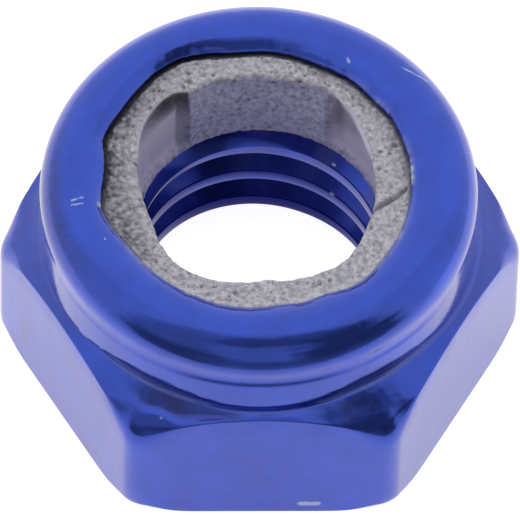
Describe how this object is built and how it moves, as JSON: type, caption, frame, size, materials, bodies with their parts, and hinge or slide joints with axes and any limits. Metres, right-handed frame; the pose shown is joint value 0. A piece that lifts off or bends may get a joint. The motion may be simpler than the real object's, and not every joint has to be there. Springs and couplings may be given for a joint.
{
  "type": "nylon insert lock nut",
  "caption": "A small blue anodised hexagon lock nut with a round collar rolled over a pale nylon ring, which grips the bolt's thread.",
  "frame": {"origin": "centre of the bearing face, on the thread's axis", "axes": "+Z runs along the thread's axis from the bearing face to the rolled lip; two of the hexagon's flats face +Y and -Y, and two of its corners point along +X and -X"},
  "size_m": [0.0092, 0.008, 0.0047],
  "materials": {
    "blue_anodised_aluminium": "bright blue anodised, turned and lightly scratched",
    "pale_nylon": "pale grey, speckled with fine pits"
  },
  "bodies": {
    "root": {"nut_body": "blue_anodised_aluminium", "nylon_insert": "pale_nylon"}
  },
  "joints": []
}
